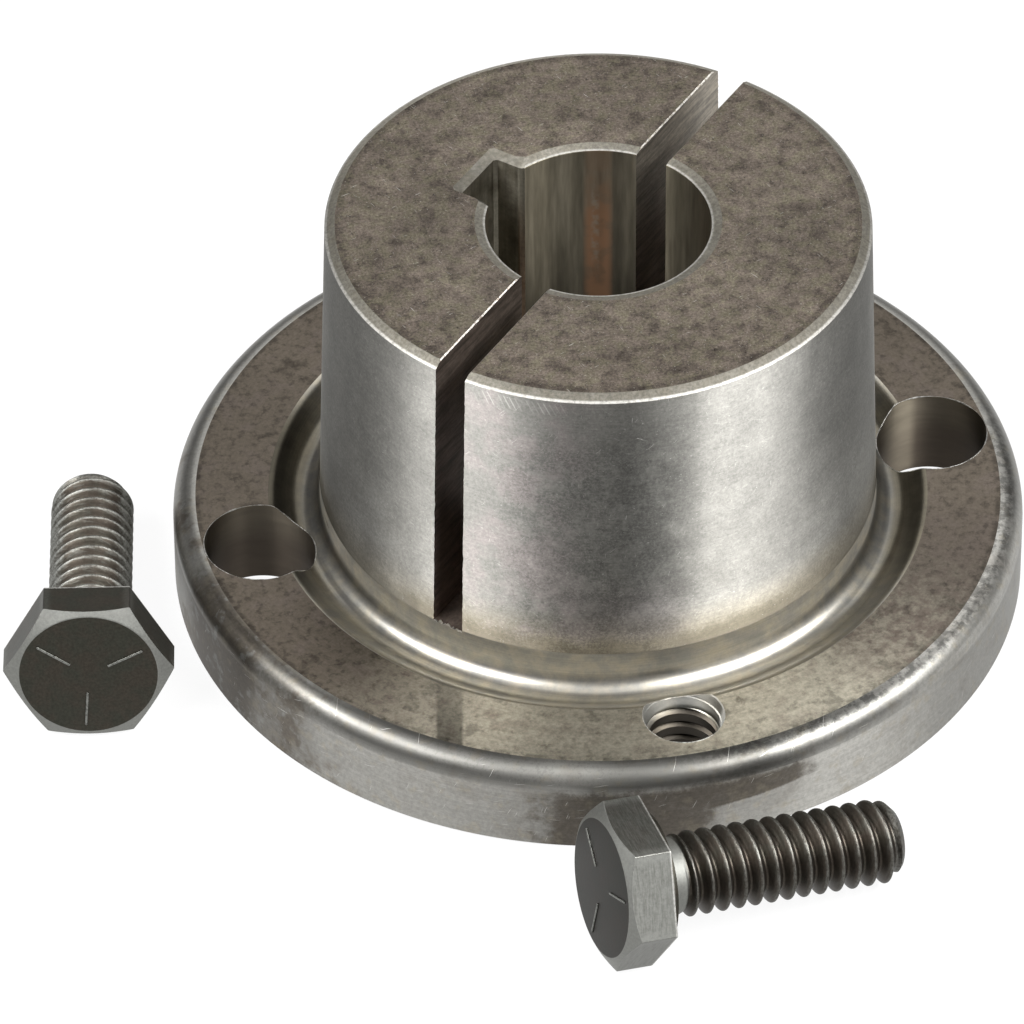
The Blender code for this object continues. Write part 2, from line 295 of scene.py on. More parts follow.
def grooveLook():
    # the form tool's smooth groove, oily at its bottom, with a painted highlight along its outer lip and
    # painted light and shade round its sides
    look = Look("groove").turned()
    lines, cloud = speckle(look.ring(3, 9, look.z + look.r), 1, 3, 0.6), speckle(look.p, 0.7, 4, 0.65)
    grain = speckle(look.p, 4, 3, 0.7)
    # the lip mask is a painted highlight: a thin beige line along the outer lip, on the front half only
    lip = band(look.r, 24.3, 24.42) * band(look.r, 24.6, 24.5) * look.side(-4, 50, 14)
    lip = lip * band(grain, 0.3, 0.55, 0.3, 1.0)
    foot, outer, aside = band(look.z, 6.9, 7.8), band(look.r, 21.9, 22.4), abs(look.across / look.r)
    # painted shade where the groove turns away at the sides, as an olive tint and a darker colour
    sides = band(aside, 0.84, 0.98) * band(look.r, 21.6, 22.4)
    dull = band(look.r, 21.7, 22.8, 0.1, 0.35) * (1 - foot) + foot * 0.15 + sides * 0.5
    light = uneven(lines, 0.9, 1.08) * band(cloud, 0.3, 0.7, 0.84, 1.1) * uneven(grain, 0.88, 1.1)
    # painted light: the outer part of the groove is made lighter
    light = light * band(grain, 0.6, 0.4, 0.88, 1.06) * band(look.r, 22.0, 23.0, 1.0, 1.45)
    # painted light on the foot at the sides, and painted shade on the outer wall there
    pale = band(aside, 0.5, 0.9, 0.15, 0.9) + 0.2 * look.side(33, 12, 8) * band(look.z, 7.6, 8.2)
    light = light * (1 + foot * pale) * (1 - 0.35 * sides)
    # painted shade at the far sides and on the outer wall there, and painted light on the front and round 40
    # degrees
    light = light * (1 - 0.3 * look.side(-92, 16, 8) - 0.15 * look.side(92, 12, 8))
    wall = 0.45 * look.side(-85, 25, 15) + 0.1 * look.side(85, 25, 15)
    light = light * (1 - wall * band(look.r, 23.0, 23.8))
    light = light * (1 + (0.35 * look.side(-2, 12, 8) - 0.28 * look.side(42, 18, 10)) * outer)
    light = light * (1 + 0.25 * look.side(40, 22, 14) * (1 - outer) * (1 - foot))
    colour = tint(band(cloud, 0.3, 0.75, 0.0, 0.7), tone["ground"], tone["warm"])
    colour = shade(tint(band(dull, 0, 1), colour, tone["olive"]), light)
    rough = 0.3 + 0.05 * lines + 0.06 * cloud + 0.16 * foot
    return look.done(tint(lip * 0.8, colour, tone["beige"]), rough, 0.002 * (lines + grain))


def flangeFaceLook():
    # a turned face, beige and lighter on the front with painted light, purple-brown elsewhere, with painted
    # shade on the right and far left, painted light near -26 degrees, and a worn border
    look = Look("flangeFace", 0.7).turned()
    turning, grain = speckle(look.ring(1.5, 4.5, look.r), 1, 3, 0.6), speckle(look.p, 3.6, 4, 0.75)
    cloud, hue = speckle(look.p, 0.4, 5, 0.65), speckle(look.p, 1.0, 4, 0.65)
    front, right = look.side(16, 42, 22), look.side(64, 18, 8)
    # a painted reflection of the slot: an upright dark patch below it
    slotReflection = band(look.across, -12.15, -11.85) * band(look.across, -9.95, -10.25)
    slotReflection = slotReflection * look.side(-24, 8, 3) * band(look.r, 24.5, 29.6, 0.5, 1.1)
    border = band(look.r, 29.5, 29.9) * band(look.r, 30.3, 30.0) * band(hue, 0.4, 0.6)
    colour = tint(front * band(hue, 0.2, 0.45), tone["brown"], tone["beige"])
    stain = band(cloud, 0.5, 0.64) * (1 - 0.6 * front) + right * band(hue, 0.6, 0.4, 0.3, 0.9)
    colour = tint(stain, colour, tone["purple"])
    light = uneven(grain, 0.8, 1.18) * band(turning, 0.3, 0.7, 0.93, 1.06) * (1 - 0.55 * slotReflection)
    # painted light on the front and near -26 degrees; painted shade on the right and near -100 degrees
    light = light * band(cloud, 0.46, 0.34, 1.0, 0.62) * band(front, 0.2, 1.0, 0.86, 1.32) * (1 - 0.16 * right)
    light = light * (1 + 0.28 * look.side(-26, 10, 8)) * (1 - 0.2 * look.side(-100, 14, 10))
    light = light * (1 - 0.4 * band(speckle(look.p, 1.4, 4, 0.65), 0.52, 0.32) * (1 - 0.5 * front))
    light = light * (1 - 0.45 * border)
    return look.done(shade(colour, light), 0.34 + 0.08 * (grain + turning), 0.005 * grain + 0.002 * turning)


def rimLook(name, aniso, roughness):
    look = Look(name, aniso).turned()
    lines, grain = speckle(look.ring(4, 7, look.z + look.r), 1, 3, 0.6), speckle(look.p, 3.4, 4, 0.75)
    patches, hue = speckle(look.p, 0.3, 4, 0.65), speckle(look.p, 0.9, 3, 0.6)
    rubbed = look.side(-12, 16, 14) * band(look.z, 5.2, 6.4)
    # a stain on the front with torn borders, which runs on to the right just under the round
    torn = speckle(look.p, 0.6, 5, 0.75) - 0.5
    runOn = look.arc + 5 * torn - 7 * band(look.z, 2.9, 3.9)
    stain = band(look.arc + 4 * torn, -6, -2.5) * band(runOn, 9.5, 7)
    stain = stain * band(look.z + 2.4 * torn, 5.9, 4.9) * band(hue, 0.2, 0.5, 0.7, 1.0)
    grime = band(look.z, 6.6, 7.0) * look.side(60, 44, 14) * band(speckle(look.p, 1.3, 4, 0.7), 0.42, 0.58)
    # the worn mask is painted shade at -64 and -50 degrees, tinted brown and darkened
    worn = look.side(-64, 7, 5) * 0.9 + look.side(-50, 6, 5) * 0.5
    brown = band(patches, 0.46, 0.66) * (0.35 + 0.65 * look.side(-70, 26, 16))
    brown = band(brown + stain * 0.85 + worn * band(hue, 0.3, 0.5), 0, 1)
    # painted light: the ground colour is lighter near 36 degrees
    colour = tint(brown * 0.8, shade(tone["ground"], look.side(36, 9, 7) * 0.25 + 1), tone["brown"])
    colour = tint(band(hue, 0.52, 0.7) * 0.35, colour, tone["warm"])
    hair = look.scratches(look.arc, look.z, (70, 1.3, 0.06, 0.81), (10, 2.0, 0.05, 0.81))
    light = uneven(lines, 0.92, 1.07) * uneven(grain, 0.84, 1.14) * (1 - 0.5 * grime)
    light = light * (1 - rubbed * band(grain, 0.45, 0.65) * 0.3) * (1 - 0.4 * stain) * (1 - 0.4 * worn)
    # painted shade and light on the round's highlight, by azimuth
    dim = 0.1 + 0.5 * look.side(-24, 15, 8) + 0.5 * look.side(10, 9, 8)
    dim = dim + 0.42 * look.side(31, 10, 6) - 0.5 * look.side(67, 16, 8)
    light = light * (1 - band(look.z, 5.2, 6.4) * dim)
    rough = roughness + 0.08 * lines + 0.06 * grain + 0.06 * rubbed
    height = 0.002 * lines + (0.003 + 0.002 * rubbed) * grain
    return look.done(tint(hair * 0.6, shade(colour, light), tone["bright"]), rough, height)


def boreLook():
    # a smooth wall with painted shade that deepens downwards, a rust streak, and darker stripes on its far
    # side
    look = Look("boreWall", 0.8).turned()
    streaks, fine = speckle(look.ring(7, 0.06), 1, 3, 0.6), speckle(look.ring(26, 0.4), 1, 2)
    rusty = look.side(179.5, 6, 2.5) * band(look.z, 31, 26, 0.3, 1.0)
    rusty = rusty * band(speckle(look.p, 0.8, 3), 0.35, 0.55, 0.6, 1.0)
    pale = look.side(181, 1.2, 1.5) * band(look.z, 20, 24) * band(look.z, 30, 28)
    pale = pale * band(speckle(look.p, 1.5, 3), 0.4, 0.6)
    dim = 0.45 * look.side(165, 6, 4) + 0.35 * look.side(200, 4, 4)
    # painted shade: darker further down the bore
    light = uneven(fine, 0.85, 1.1) * band(look.z, 18, 31, 0.62, 0.92) * (1 - dim)
    colour = shade(tint(band(streaks, 0.35, 0.7, 0.0, 0.5), tone["olive"], tone["warm"]), light)
    colour = tint(pale * 0.5, tint(rusty, colour, tone["rust"]), tone["beige"])
    return look.done(colour, 0.4 + 0.1 * streaks, 0.003 * streaks + 0.001 * fine)


def threadedLook():
    # tapped walls with level marks, bare and with painted light at the mouth, and with painted shade further
    # down
    look = Look("threaded", 0.5)
    marks = speckle(look.vector(look.x * 0.25, look.y * 0.25, look.z * 2), 1, 3, 0.6)
    cloud, grain = speckle(look.vector(look.x, look.y, look.z * 0.4), 0.5, 3), speckle(look.p, 4, 3, 0.7)
    deep, mouth = band(look.z, 5.5, 4.9), band(look.z, 5.5, 5.8)
    light = band(marks, 0.3, 0.7, 0.85, 1.15) * uneven(grain, 0.85, 1.12)
    colour = shade(tint(band(cloud, 0.3, 0.7), tone["beige"], tone["worn"]), light)
    # painted shade: browner and darker further down the hole
    colour = shade(tint(deep * 0.8, colour, tone["brown"]), (1 - 0.5 * deep) * band(look.z, 2, 5, 0.5, 1.0))
    colour = tint(mouth * 0.3, colour, tone["bright"])
    return look.done(colour, 0.36 + 0.2 * mouth + 0.12 * marks, 0.004 * marks + 0.002 * grain)


def sawnLook():
    # level saw marks, with painted shade on the camera's side and lower down, painted light on the far side
    # and higher up, and bare along the upper edges
    look = Look("sawCut", 0.3).turned()
    marks = speckle(look.vector(look.x * 0.3, look.y * 0.3, look.z * 3.2), 1, 4, 0.75)
    cloud, grain = speckle(look.p, 0.5, 3), speckle(look.p, 4, 3, 0.7)
    light = band(marks, 0.3, 0.7, 0.6, 1.35) * uneven(grain, 0.85, 1.12) * band(cloud, 0.3, 0.7, 0.85, 1.1)
    edge = band(look.z, 32.86, 32.9) * band(grain, 0.35, 0.6, 0.0, 0.7)
    # the bare mask is painted light: lighter on the far side and higher up, darker low in the slot and on the
    # camera's side
    bare = (0.2 + 0.8 * look.side(149, 60, 25)) * band(look.z, 22, 30, 0.3, 0.7)
    colour = shade(tint(bare, tone["sawn"], tone["beige"]), light)
    rough, height = 0.34 + 0.14 * marks, 0.006 * marks + 0.002 * grain
    return look.done(tint(edge, colour, tone["bright"]), rough, height)


def keyLook():
    # milled walls, lighter and rusty where they meet the bore, and a mouth as dull as the bore's
    look = Look("keyCut", 0.7).turned()
    marks = speckle(look.vector(look.x * 2.2, look.y * 2.2, look.z * 0.1), 1, 3, 0.6)
    cloud, grain = speckle(look.p, 0.6, 3), speckle(look.p, 4, 3, 0.7)
    mouth, corner = band(look.z, 32.72, 32.78), band(look.r, 8.72, 8.6) * band(look.z, 24, 31, 0.5, 1.0)
    colour = tint(band(cloud, 0.3, 0.7, 0.1, 0.8), tone["olive"], tone["beige"])
    colour = tint(corner, colour, tint(band(look.z, 22, 31), tone["rust"], tone["beige"]))
    colour = tint(mouth * 0.8, colour, tint(cloud, tone["olive"], tone["ground"]))
    light = band(marks, 0.3, 0.7, 0.8, 1.15) * uneven(grain, 0.85, 1.12)
    return look.done(shade(colour, light), 0.36 + 0.08 * marks + 0.1 * mouth, 0.003 * (marks + grain))


def drilledLook():
    # dark and oily, with painted light towards the mouth, a painted reflection in the right hole and painted
    # shade in the left; inward goes from a hole's middle towards the axis
    look = Look("drilled", 0.85)
    marks = speckle(look.vector(look.x * 0.3, look.y * 0.3, look.z * 1.6), 1, 3, 0.6)
    grain = speckle(look.p, 4, 3, 0.7)
    inward, right = holeCircle - abs(look.x), band(look.x, -1, 1)
    # a painted reflection: a lighter upright stripe in the right hole; the dim mask is painted shade in the
    # left one
    paintedReflection = 0.24 * band(inward, -0.2, 0.7) * band(inward, 4.3, 1.2) * right
    dim = 0.4 * band(inward, 0.4, 1.8) * band(inward, 4.2, 3.0) * (1 - right)
    lit = band(look.z, 3.0, 6.6, 0.02, 0.24) + paintedReflection
    colour = shade(tint(lit, tone["oil"], tone["warm"]), band(marks, 0.3, 0.7, 0.92, 1.08) * (1 - dim))
    return look.done(colour, 0.48 + 0.1 * marks, 0.002 * (marks + grain))


def burrLook():
    # bare metal along a cut edge, dull in places
    look = Look("burr")
    grain = speckle(look.p, 2.5, 4, 0.7)
    colour = tint(band(grain, 0.4, 0.6), tone["ground"], tone["bright"])
    return look.done(colour, 0.35 + 0.1 * grain, 0.003 * grain)


def screwLook(name, place, wear):
    # dark phosphate on rolled steel, worn through at the crests and edges, with painted shade on the head's
    # end face and top flat; the screw's axis is X
    look = Look(name, 0.0, place)
    radius = (look.y * look.y + look.z * look.z) ** 0.5
    grain, cloud = speckle(look.p, 5, 4, 0.7), speckle(look.p, 0.7, 4, 0.6)
    streaks = speckle(look.vector(look.x * 9, look.y * 0.9, look.z * 0.9), 1, 3, 0.6)
    patchy = band(grain, 0.35, 0.6, 0.5, 1.0)
    shank, head, face = band(look.x, 0.7, 1.5), band(look.x, -0.2, -0.45), band(look.x, -3.835, -3.848)
    crest = band(radius, 2.92, 3.07) * shank * patchy * 0.5 * wear["thread"]
    flank = band(radius, 2.5, 2.8) * shank * band(streaks, 0.46, 0.64) * 0.3 * wear["thread"]
    rolled = shank * band(abs(look.y), 1.8, 2.5) * patchy * wear["shank"]
    point = band(look.x, 17.9, 18.3) * patchy * 0.5
    neck = band(look.x, 2.0, 1.6) * band(look.x, -0.02, 0.05) * 0.9
    chamfer = band(look.x - radius * tan(radians(30)), -6.74, -6.79) * (1 - face) * 1.3
    sides = head * (1 - face) * band(streaks, 0.3, 0.7, 0.65, 1.0) * wear["sides"]
    sides = sides * band(look.z, 5.3, 5.42, 1.0, wear["top"])
    rear = band(look.x, -0.58, -0.5) * head * patchy * 0.6
    raised = band(look.x, -3.86, -3.9) * patchy
    edge = band(radius, 5.9, 6.2) * head * 0.2
    worn = band(crest + flank + rolled + point + neck + sides + chamfer + raised + edge, 0.0, 1.0)
    dark = tint(band(cloud, 0.35, 0.65) * 0.7 + shank * 0.5, tone["phosphate"], tone["umber"])
    # painted shade: the head's end face darkened by the face value, and the top flat darkened
    dark = shade(dark, 1 - (1 - wear["face"]) * face - 0.25 * head * band(look.z, 5.3, 5.42))
    dark, bare = shade(dark, uneven(grain, 0.8, 1.2)), shade(tone["worn"], uneven(grain, 0.85, 1.1))
    colour = tint(rear, tint(worn, dark, bare), tone["bright"])
    rough = 0.42 + 0.04 * worn + 0.12 * grain + 0.1 * neck
    return look.done(colour, rough, 0.006 * grain + 0.002 * streaks)


looks = {
    "endFace": endFaceLook(),
    "endChamfer": ringLook("endChamfer", 19.75, 19.9),
    "taper": taperLook(),
    "groove": grooveLook(),
    "flangeFace": flangeFaceLook(),
    "rim": rimLook("rim", 0.8, 0.36),
    "rimRound": rimLook("rimRound", 0.2, 0.33),
    "burr": burrLook(),
    "backFace": backFaceLook(),
    "boreWall": boreLook(),
    "mouth": ringLook("mouth", 8.5, 8.33),
    "sawCut": sawnLook(),
    "keyCut": keyLook(),
    "drilled": drilledLook(),
    "threaded": threadedLook(),
}
print("materials made:", len(looks))


# meshes

def filletedOutline(corners, steps=4):
    # corners are (x, y, radius) in millimetres round a closed outline; each becomes an arc
    points = []
    for i, (x, y, radius) in enumerate(corners):
        here = Vector((x, y))
        if not radius:
            points.append(here)
            continue
        before = (Vector(corners[i - 1][:2]) - here).normalized()
        after = (Vector(corners[(i + 1) % len(corners)][:2]) - here).normalized()
        half = before.angle(after) / 2
        middle = here + (before + after).normalized() * radius / sin(half)
        start = here + before * radius / tan(half) - middle
        sweep = (pi - 2 * half) * (1 if before.cross(after) < 0 else -1)
        for step in range(steps + 1):
            points.append(middle + Matrix.Rotation(sweep * step / steps, 2) @ start)
    return [(p.x, p.y) for p in points]


def arcPoints(middle, radius, start, end, steps):
    # points (x, y) on an arc, angles in degrees
    angles = [radians(start + (end - start) * i / steps) for i in range(steps + 1)]
    return [(middle[0] + radius * cos(a), middle[1] + radius * sin(a)) for a in angles]


def turnedShape(outline, steps, closed=True):
    # spins an outline of (radius, height) in millimetres round Z
    bm = bmesh.new()
    verts = [bm.verts.new((r * mm, 0, z * mm)) for r, z in outline]
    edges = [bm.edges.new(pair) for pair in zip(verts, verts[1:])]
    if closed:
        edges.append(bm.edges.new((verts[-1], verts[0])))
    bmesh.ops.spin(bm, geom=verts + edges, axis=(0, 0, 1), cent=(0, 0, 0), angle=2 * pi,
                   steps=steps, use_merge=True)
    bmesh.ops.remove_doubles(bm, verts=bm.verts, dist=1e-7)
    bmesh.ops.recalc_face_normals(bm, faces=bm.faces)
    return bm


def threadedTube(form, lead, turns, steps):
    # one turn of a thread's outline, spun and lifted; form is (radius, height) over one pitch
    bm = bmesh.new()
    verts = [bm.verts.new((r * mm, 0, (z + lead * turn) * mm)) for turn in range(turns) for r, z in form]
    edges = [bm.edges.new(pair) for pair in zip(verts, verts[1:])]
    bmesh.ops.spin(bm, geom=verts + edges, axis=(0, 0, 1), cent=(0, 0, 0), angle=2 * pi,
                   steps=steps, dvec=(0, 0, lead * mm / steps), use_merge=False)
    bmesh.ops.remove_doubles(bm, verts=bm.verts, dist=1e-6)
    return bm


def cutFlat(bm, height, keepBelow):
    # trims a shape at a height and closes it there
    cut = bmesh.ops.bisect_plane(bm, geom=bm.verts[:] + bm.edges[:] + bm.faces[:], dist=1e-8,
                                 plane_co=(0, 0, height * mm), plane_no=(0, 0, 1),
                                 clear_outer=keepBelow, clear_inner=not keepBelow)
    ring = [e for e in cut["geom_cut"] if isinstance(e, bmesh.types.BMEdge)]
    bmesh.ops.edgeloop_fill(bm, edges=ring)


def straightBar(outline, stations):
    # carries a closed outline of (y, z) along X through several stations, all in millimetres
    bm = bmesh.new()
    ring = [bm.verts.new((stations[0] * mm, y * mm, z * mm)) for y, z in outline]
    edges = [bm.edges.new((ring[i - 1], ring[i])) for i in range(len(ring))]
    bmesh.ops.contextual_create(bm, geom=edges)
    for near, far in zip(stations, stations[1:]):
        raised = bmesh.ops.extrude_edge_only(bm, edges=edges)["geom"]
        verts = [g for g in raised if isinstance(g, bmesh.types.BMVert)]
        edges = [g for g in raised if isinstance(g, bmesh.types.BMEdge)]
        edges = [e for e in edges if all(v in verts for v in e.verts)]
        bmesh.ops.translate(bm, verts=verts, vec=((far - near) * mm, 0, 0))
    bmesh.ops.contextual_create(bm, geom=edges)
    bmesh.ops.recalc_face_normals(bm, faces=bm.faces)
    return bm


def swing(bm, angle):
    # turns a whole shape round Z, in degrees
    bmesh.ops.rotate(bm, verts=bm.verts, cent=(0, 0, 0), matrix=Matrix.Rotation(radians(angle), 3, "Z"))


def shift(bm, x, y, z):
    # moves a whole shape, in millimetres
    bmesh.ops.translate(bm, verts=bm.verts, vec=(x * mm, y * mm, z * mm))


def soften(bm, edges, width, segments):
    # rounds edges, the width in millimetres
    bmesh.ops.bevel(bm, geom=edges, offset=width * mm, segments=segments, affect="EDGES", profile=0.5,
                    material=-1)


def smoothed(mesh):
    # smooth shading with sharp edges; a face over 3 square millimetres stays flat up to its border
    mesh.shade_smooth()
    mesh.set_sharp_from_angle(angle=radians(28))
    bm = bmesh.new()
    bm.from_mesh(mesh)
    for edge in bm.edges:
        if len(edge.link_faces) == 2 and max(f.calc_area() for f in edge.link_faces) > 3 * mm * mm:
            if edge.calc_face_angle() > radians(5):
                edge.smooth = False
    bm.to_mesh(mesh)
    bm.free()


def finished(name, bm, materials=()):
    # a bmesh becomes an object
    mesh = bpy.data.meshes.new(name)
    bm.to_mesh(mesh)
    bm.free()
    for material in materials:
        mesh.materials.append(material)
    smoothed(mesh)
    obj = bpy.data.objects.new(name, mesh)
    bpy.context.scene.collection.objects.link(obj)
    return obj


def combined(target, tools, operation="DIFFERENCE"):
    # works the Booleans out once and drops the tools
    for tool in tools:
        modifier = target.modifiers.new(tool.name, "BOOLEAN")
        modifier.operation = operation
        modifier.solver = "EXACT"
        modifier.material_mode = "TRANSFER"
        modifier.object = tool
    depsgraph = bpy.context.evaluated_depsgraph_get()
    mesh = bpy.data.meshes.new_from_object(target.evaluated_get(depsgraph))
    target.modifiers.clear()
    target.data = mesh
    for tool in tools:
        bpy.data.objects.remove(tool, do_unlink=True)
    smoothed(mesh)
    return target


# the body

body = {
    "flangeRadius": 31.75, "flangeThickness": 7.14, "rimRound": 1.7, "backChamfer": 0.3,
    "length": 33.0, "ledge": 10.955, "taper": 1 / 32, "endChamfer": (0.74, 0.42),
    "grindEnd": 8.7, "grindStep": 0.02,
    "grooveDepth": 1.14, "grooveCorners": ((0, 1.5), (22.7, 1.25), (24.3, 1.0)), "lip": 24.6,
    "boreRadius": 8.25, "mouth": (0.8, 0.21), "boreBack": 0.4, "steps": 256,
}


def barrelRadius(height):
    foot = body["flangeRadius"] - body["ledge"]
    return foot - (height - body["flangeThickness"]) * body["taper"]


def grooveProfile():
    # the flange's upper side, from the barrel's foot through the groove to the lip
    front, corners = body["flangeThickness"], body["grooveCorners"]
    bottom, wall = front - body["grooveDepth"], barrelRadius(front) - body["grindStep"]
    return filletedOutline([
        (wall, front + 2, 0), (wall, bottom, corners[0][1]), (corners[1][0], bottom, corners[1][1]),
        (corners[2][0], front, corners[2][1]), (body["flangeRadius"] - 4, front, 0)], steps=12)


grooveLine = grooveProfile()


def flangeHeight(radius):
    # height of that side at a radius
    for (r0, z0), (r1, z1) in zip(grooveLine, grooveLine[1:]):
        if r0 < radius <= r1:
            return z0 + (z1 - z0) * (radius - r0) / (r1 - r0)
    return body["flangeThickness"]


def bodyOutline():
    # the turned section, down the outside from the bore's mouth and back up the bore
    bore, top = body["boreRadius"], body["length"]
    wide, drop = body["endChamfer"]
    mouthWide, mouthDrop = body["mouth"]
    front, rim, grind = body["flangeThickness"], body["flangeRadius"], body["grindEnd"]
    back, end = body["backChamfer"], barrelRadius(top - drop)
    upper = filletedOutline([
        (bore, 15, 0), (bore, top - mouthDrop, 0.04), (bore + mouthWide, top, 0.12),
        (end - wide, top, 0.1), (end, top - drop, 0.05),
        (barrelRadius(grind), grind, 0), (barrelRadius(grind) - body["grindStep"], grind - 0.12, 0),
        (barrelRadius(front) - body["grindStep"], front + 2, 0)])
    lower = filletedOutline([
        (rim - 4, front, 0), (rim, front, body["rimRound"]), (rim, back, 0.06), (rim - back, 0, 0.06),
        (bore + body["boreBack"], 0, 0.05), (bore, body["boreBack"], 0.05)], steps=12)
    return upper[:-1] + grooveLine[:-1] + lower


regions = ["endFace", "endChamfer", "taper", "groove", "flangeFace", "rim", "rimRound", "backFace",
           "boreWall", "mouth"]


def regionOf(face):
    # which finish a face of the turned body takes, from its middle's radius and height
    middle, front, rim = face.calc_center_median() / mm, body["flangeThickness"], body["flangeRadius"]
    r, z = Vector((middle.x, middle.y)).length, middle.z
    if r < body["boreRadius"] + 0.03 and z > 0.5:
        return "boreWall"
    if z > body["length"] - 0.5:
        if r < body["boreRadius"] + body["mouth"][0] - 0.05:
            return "mouth"
        return "endFace" if r < barrelRadius(z) - body["endChamfer"][0] - 0.02 else "endChamfer"
    if z > body["grindEnd"] - 0.05:
        return "taper"
    if r < rim - body["rimRound"] + 0.02 and z > front - 0.05:
        return "flangeFace" if r > body["lip"] else "groove"
    if r < rim - body["rimRound"] and z > 1:
        return "groove"
    if r > rim - body["rimRound"] and z > front - body["rimRound"]:
        return "rimRound"
    return "rim" if z > 0.02 and r > 20 else "backFace"


bodyShape = turnedShape(bodyOutline(), body["steps"])
for face in bodyShape.faces:
    face.material_index = regions.index(regionOf(face))
print("body turned:", len(bodyShape.faces), "faces")


keyway = {"width": 4.76, "wall": 10.3, "cornerChamfer": 0.3, "cornerCut": 0.25, "angle": 135,
          "mouthNear": 0.1}


def keywayTool():
    # a bar with the key's section, which widens where it leaves the bore's mouth
    half, chamfer, bore = keyway["width"] / 2, keyway["cornerChamfer"], body["boreRadius"]
    top, wall, cut, corner = body["length"], keyway["wall"], keyway["cornerCut"], sqrt(bore ** 2 - half ** 2)
    side = [(bore / 2, half + chamfer), (corner - chamfer, half + chamfer), (corner + chamfer, half),
            (wall - cut, half), (wall, half - cut)]
    mouthWide, mouthDrop = body["mouth"]
    # the outline's y is the distance from the axis and its z the way across, until the bar is stood up
    bm = straightBar(side + [(x, -y) for x, y in reversed(side)], [-1, top - mouthDrop, top + 1])
    for vert in bm.verts:
        height, out, across = vert.co / mm
        spread = mouthWide / mouthDrop * (1 + mouthDrop) if height > top else 0
        if out > bore / 2 + 0.01:
            out += spread
        across += spread * (-1 if across < 0 else keyway["mouthNear"])
        vert.co = Vector((out, across, height)) * mm
    bmesh.ops.recalc_face_normals(bm, faces=bm.faces)
    swing(bm, keyway["angle"])
    return finished("keywayTool", bm, [looks["keyCut"]])


slot = {"width": 2.48, "floor": 9.0, "offset": 0.37, "angle": 45, "ragged": 0.05, "ridge": 0.01,
        "edgeBreak": 0.09}


def slotTool():
    # the saw blade's path: its walls are ragged where the blade leaves the barrel
    top, floor, half = body["length"], slot["floor"], slot["width"] / 2
    edge = top - slot["edgeBreak"]
    heights = [floor + (edge - floor) * i / 120 for i in range(121)]
    outward = [7, 9, 19, 19.7, 20.1, 20.45, 20.9, 21.6, 24]
    outline = [(-half + slot["width"] * i / 8, floor) for i in range(9)]
    outline += [(half, z) for z in heights[1:]] + [(half + 1, edge + 1), (-half - 1, edge + 1)]
    outline += [(-half, z) for z in reversed(heights[1:])]
    bm = straightBar(outline, [-s for s in reversed(outward)] + outward)
    for vert in bm.verts:
        along, across, z = vert.co / mm
        if z > top + 0.5:
            continue
        atEdge = 1 if 19.9 < abs(along) < 21.5 else 0.12
        rough = noise.noise((along * 0.9, across * 3, z * 3.1))
        rough += 0.6 * noise.noise((along, across * 5, z * 9.3))
        marks = slot["ridge"] * noise.noise((along * 0.15, across * 3, z * 7))
        sway = slot["ragged"] * atEdge * rough + marks
        if abs(across) > half - 0.01:
            vert.co.y += sway * (1 if across > 0 else -1) * mm
        if z < floor + 0.01:
            vert.co.z += 1.6 * sway * mm
    shift(bm, 0, slot["offset"], 0)
    swing(bm, slot["angle"])
    return finished("slotTool", bm, [looks["sawCut"]])


holes = {"clearanceRadius": 4.15, "backChamfer": 1.12, "edgeBreak": 0.03, "tapRadius": 2.54,
         "threadRadius": 2.88, "pitch": 1.27, "threadTurns": 10, "threadBelow": 3, "threadStart": 200,
         "counterboreRadius": 2.95, "counterbore": (1.75, 1.85), "mouthCone": 0.06, "steps": 96,
         "threadSteps": 64}


def clearanceTool(side):
    # a drill's path, with a cone at the back face and a hair of an edge break at the front
    front, r = body["flangeThickness"], holes["clearanceRadius"]
    lift, cone = holes["edgeBreak"], holes["backChamfer"]
    outline = [(0, -1), (r + cone, -1), (r, cone - 1), (r, front - lift), (r + lift + 1, front + 1),
               (0, front + 1)]
    bm = turnedShape(outline, holes["steps"], closed=False)
    shift(bm, side * holeCircle, 0, 0)
    return finished("clearanceTool", bm, [looks["drilled"]])


def tappedTool(side):
    # a tap's shape: one helix with flat crests where the drill left them
    minor, major, pitch = holes["tapRadius"], holes["threadRadius"], holes["pitch"]
    flank, flat = (major - minor) * tan(radians(30)), pitch / 8
    form = [(minor, 0), (minor, pitch - flat - 2 * flank), (major, pitch - flat - flank),
            (major, pitch - flank)]
    bm = threadedTube(form, pitch, holes["threadTurns"], holes["threadSteps"])
    shift(bm, 0, 0, -holes["threadBelow"])
    cutFlat(bm, body["flangeThickness"] + 1, True)
    cutFlat(bm, -1, False)
    bmesh.ops.recalc_face_normals(bm, faces=bm.faces)
    swing(bm, holes["threadStart"])
    shift(bm, 0, side * holeCircle, 0)
    return finished("tappedTool", bm, [looks["threaded"]])


def mouthTool(side):
    # the short counterbore and cone at a tapped hole's mouth
    front, r, cone = body["flangeThickness"], holes["counterboreRadius"], holes["mouthCone"]
    shallow, deep = holes["counterbore"]
    outline = [(0, front - deep), (holes["tapRadius"], front - deep), (r - 0.3, front - shallow),
               (r, front - cone), (r + 1, front - cone + 1), (0, front - cone + 1)]
    bm = turnedShape(outline, holes["steps"], closed=False)
    shift(bm, 0, side * holeCircle, 0)
    return finished("mouthTool", bm, [looks["threaded"]])


bushing = finished("bushingBody", bodyShape, [looks[name] for name in regions])
bushing = combined(bushing, [keywayTool(), slotTool(), clearanceTool(1), clearanceTool(-1),
                             mouthTool(1), mouthTool(-1), tappedTool(1), tappedTool(-1)])
print("body cut:", len(bushing.data.polygons), "faces")
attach(bushing, "root")
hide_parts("bushing")


# the cap screws

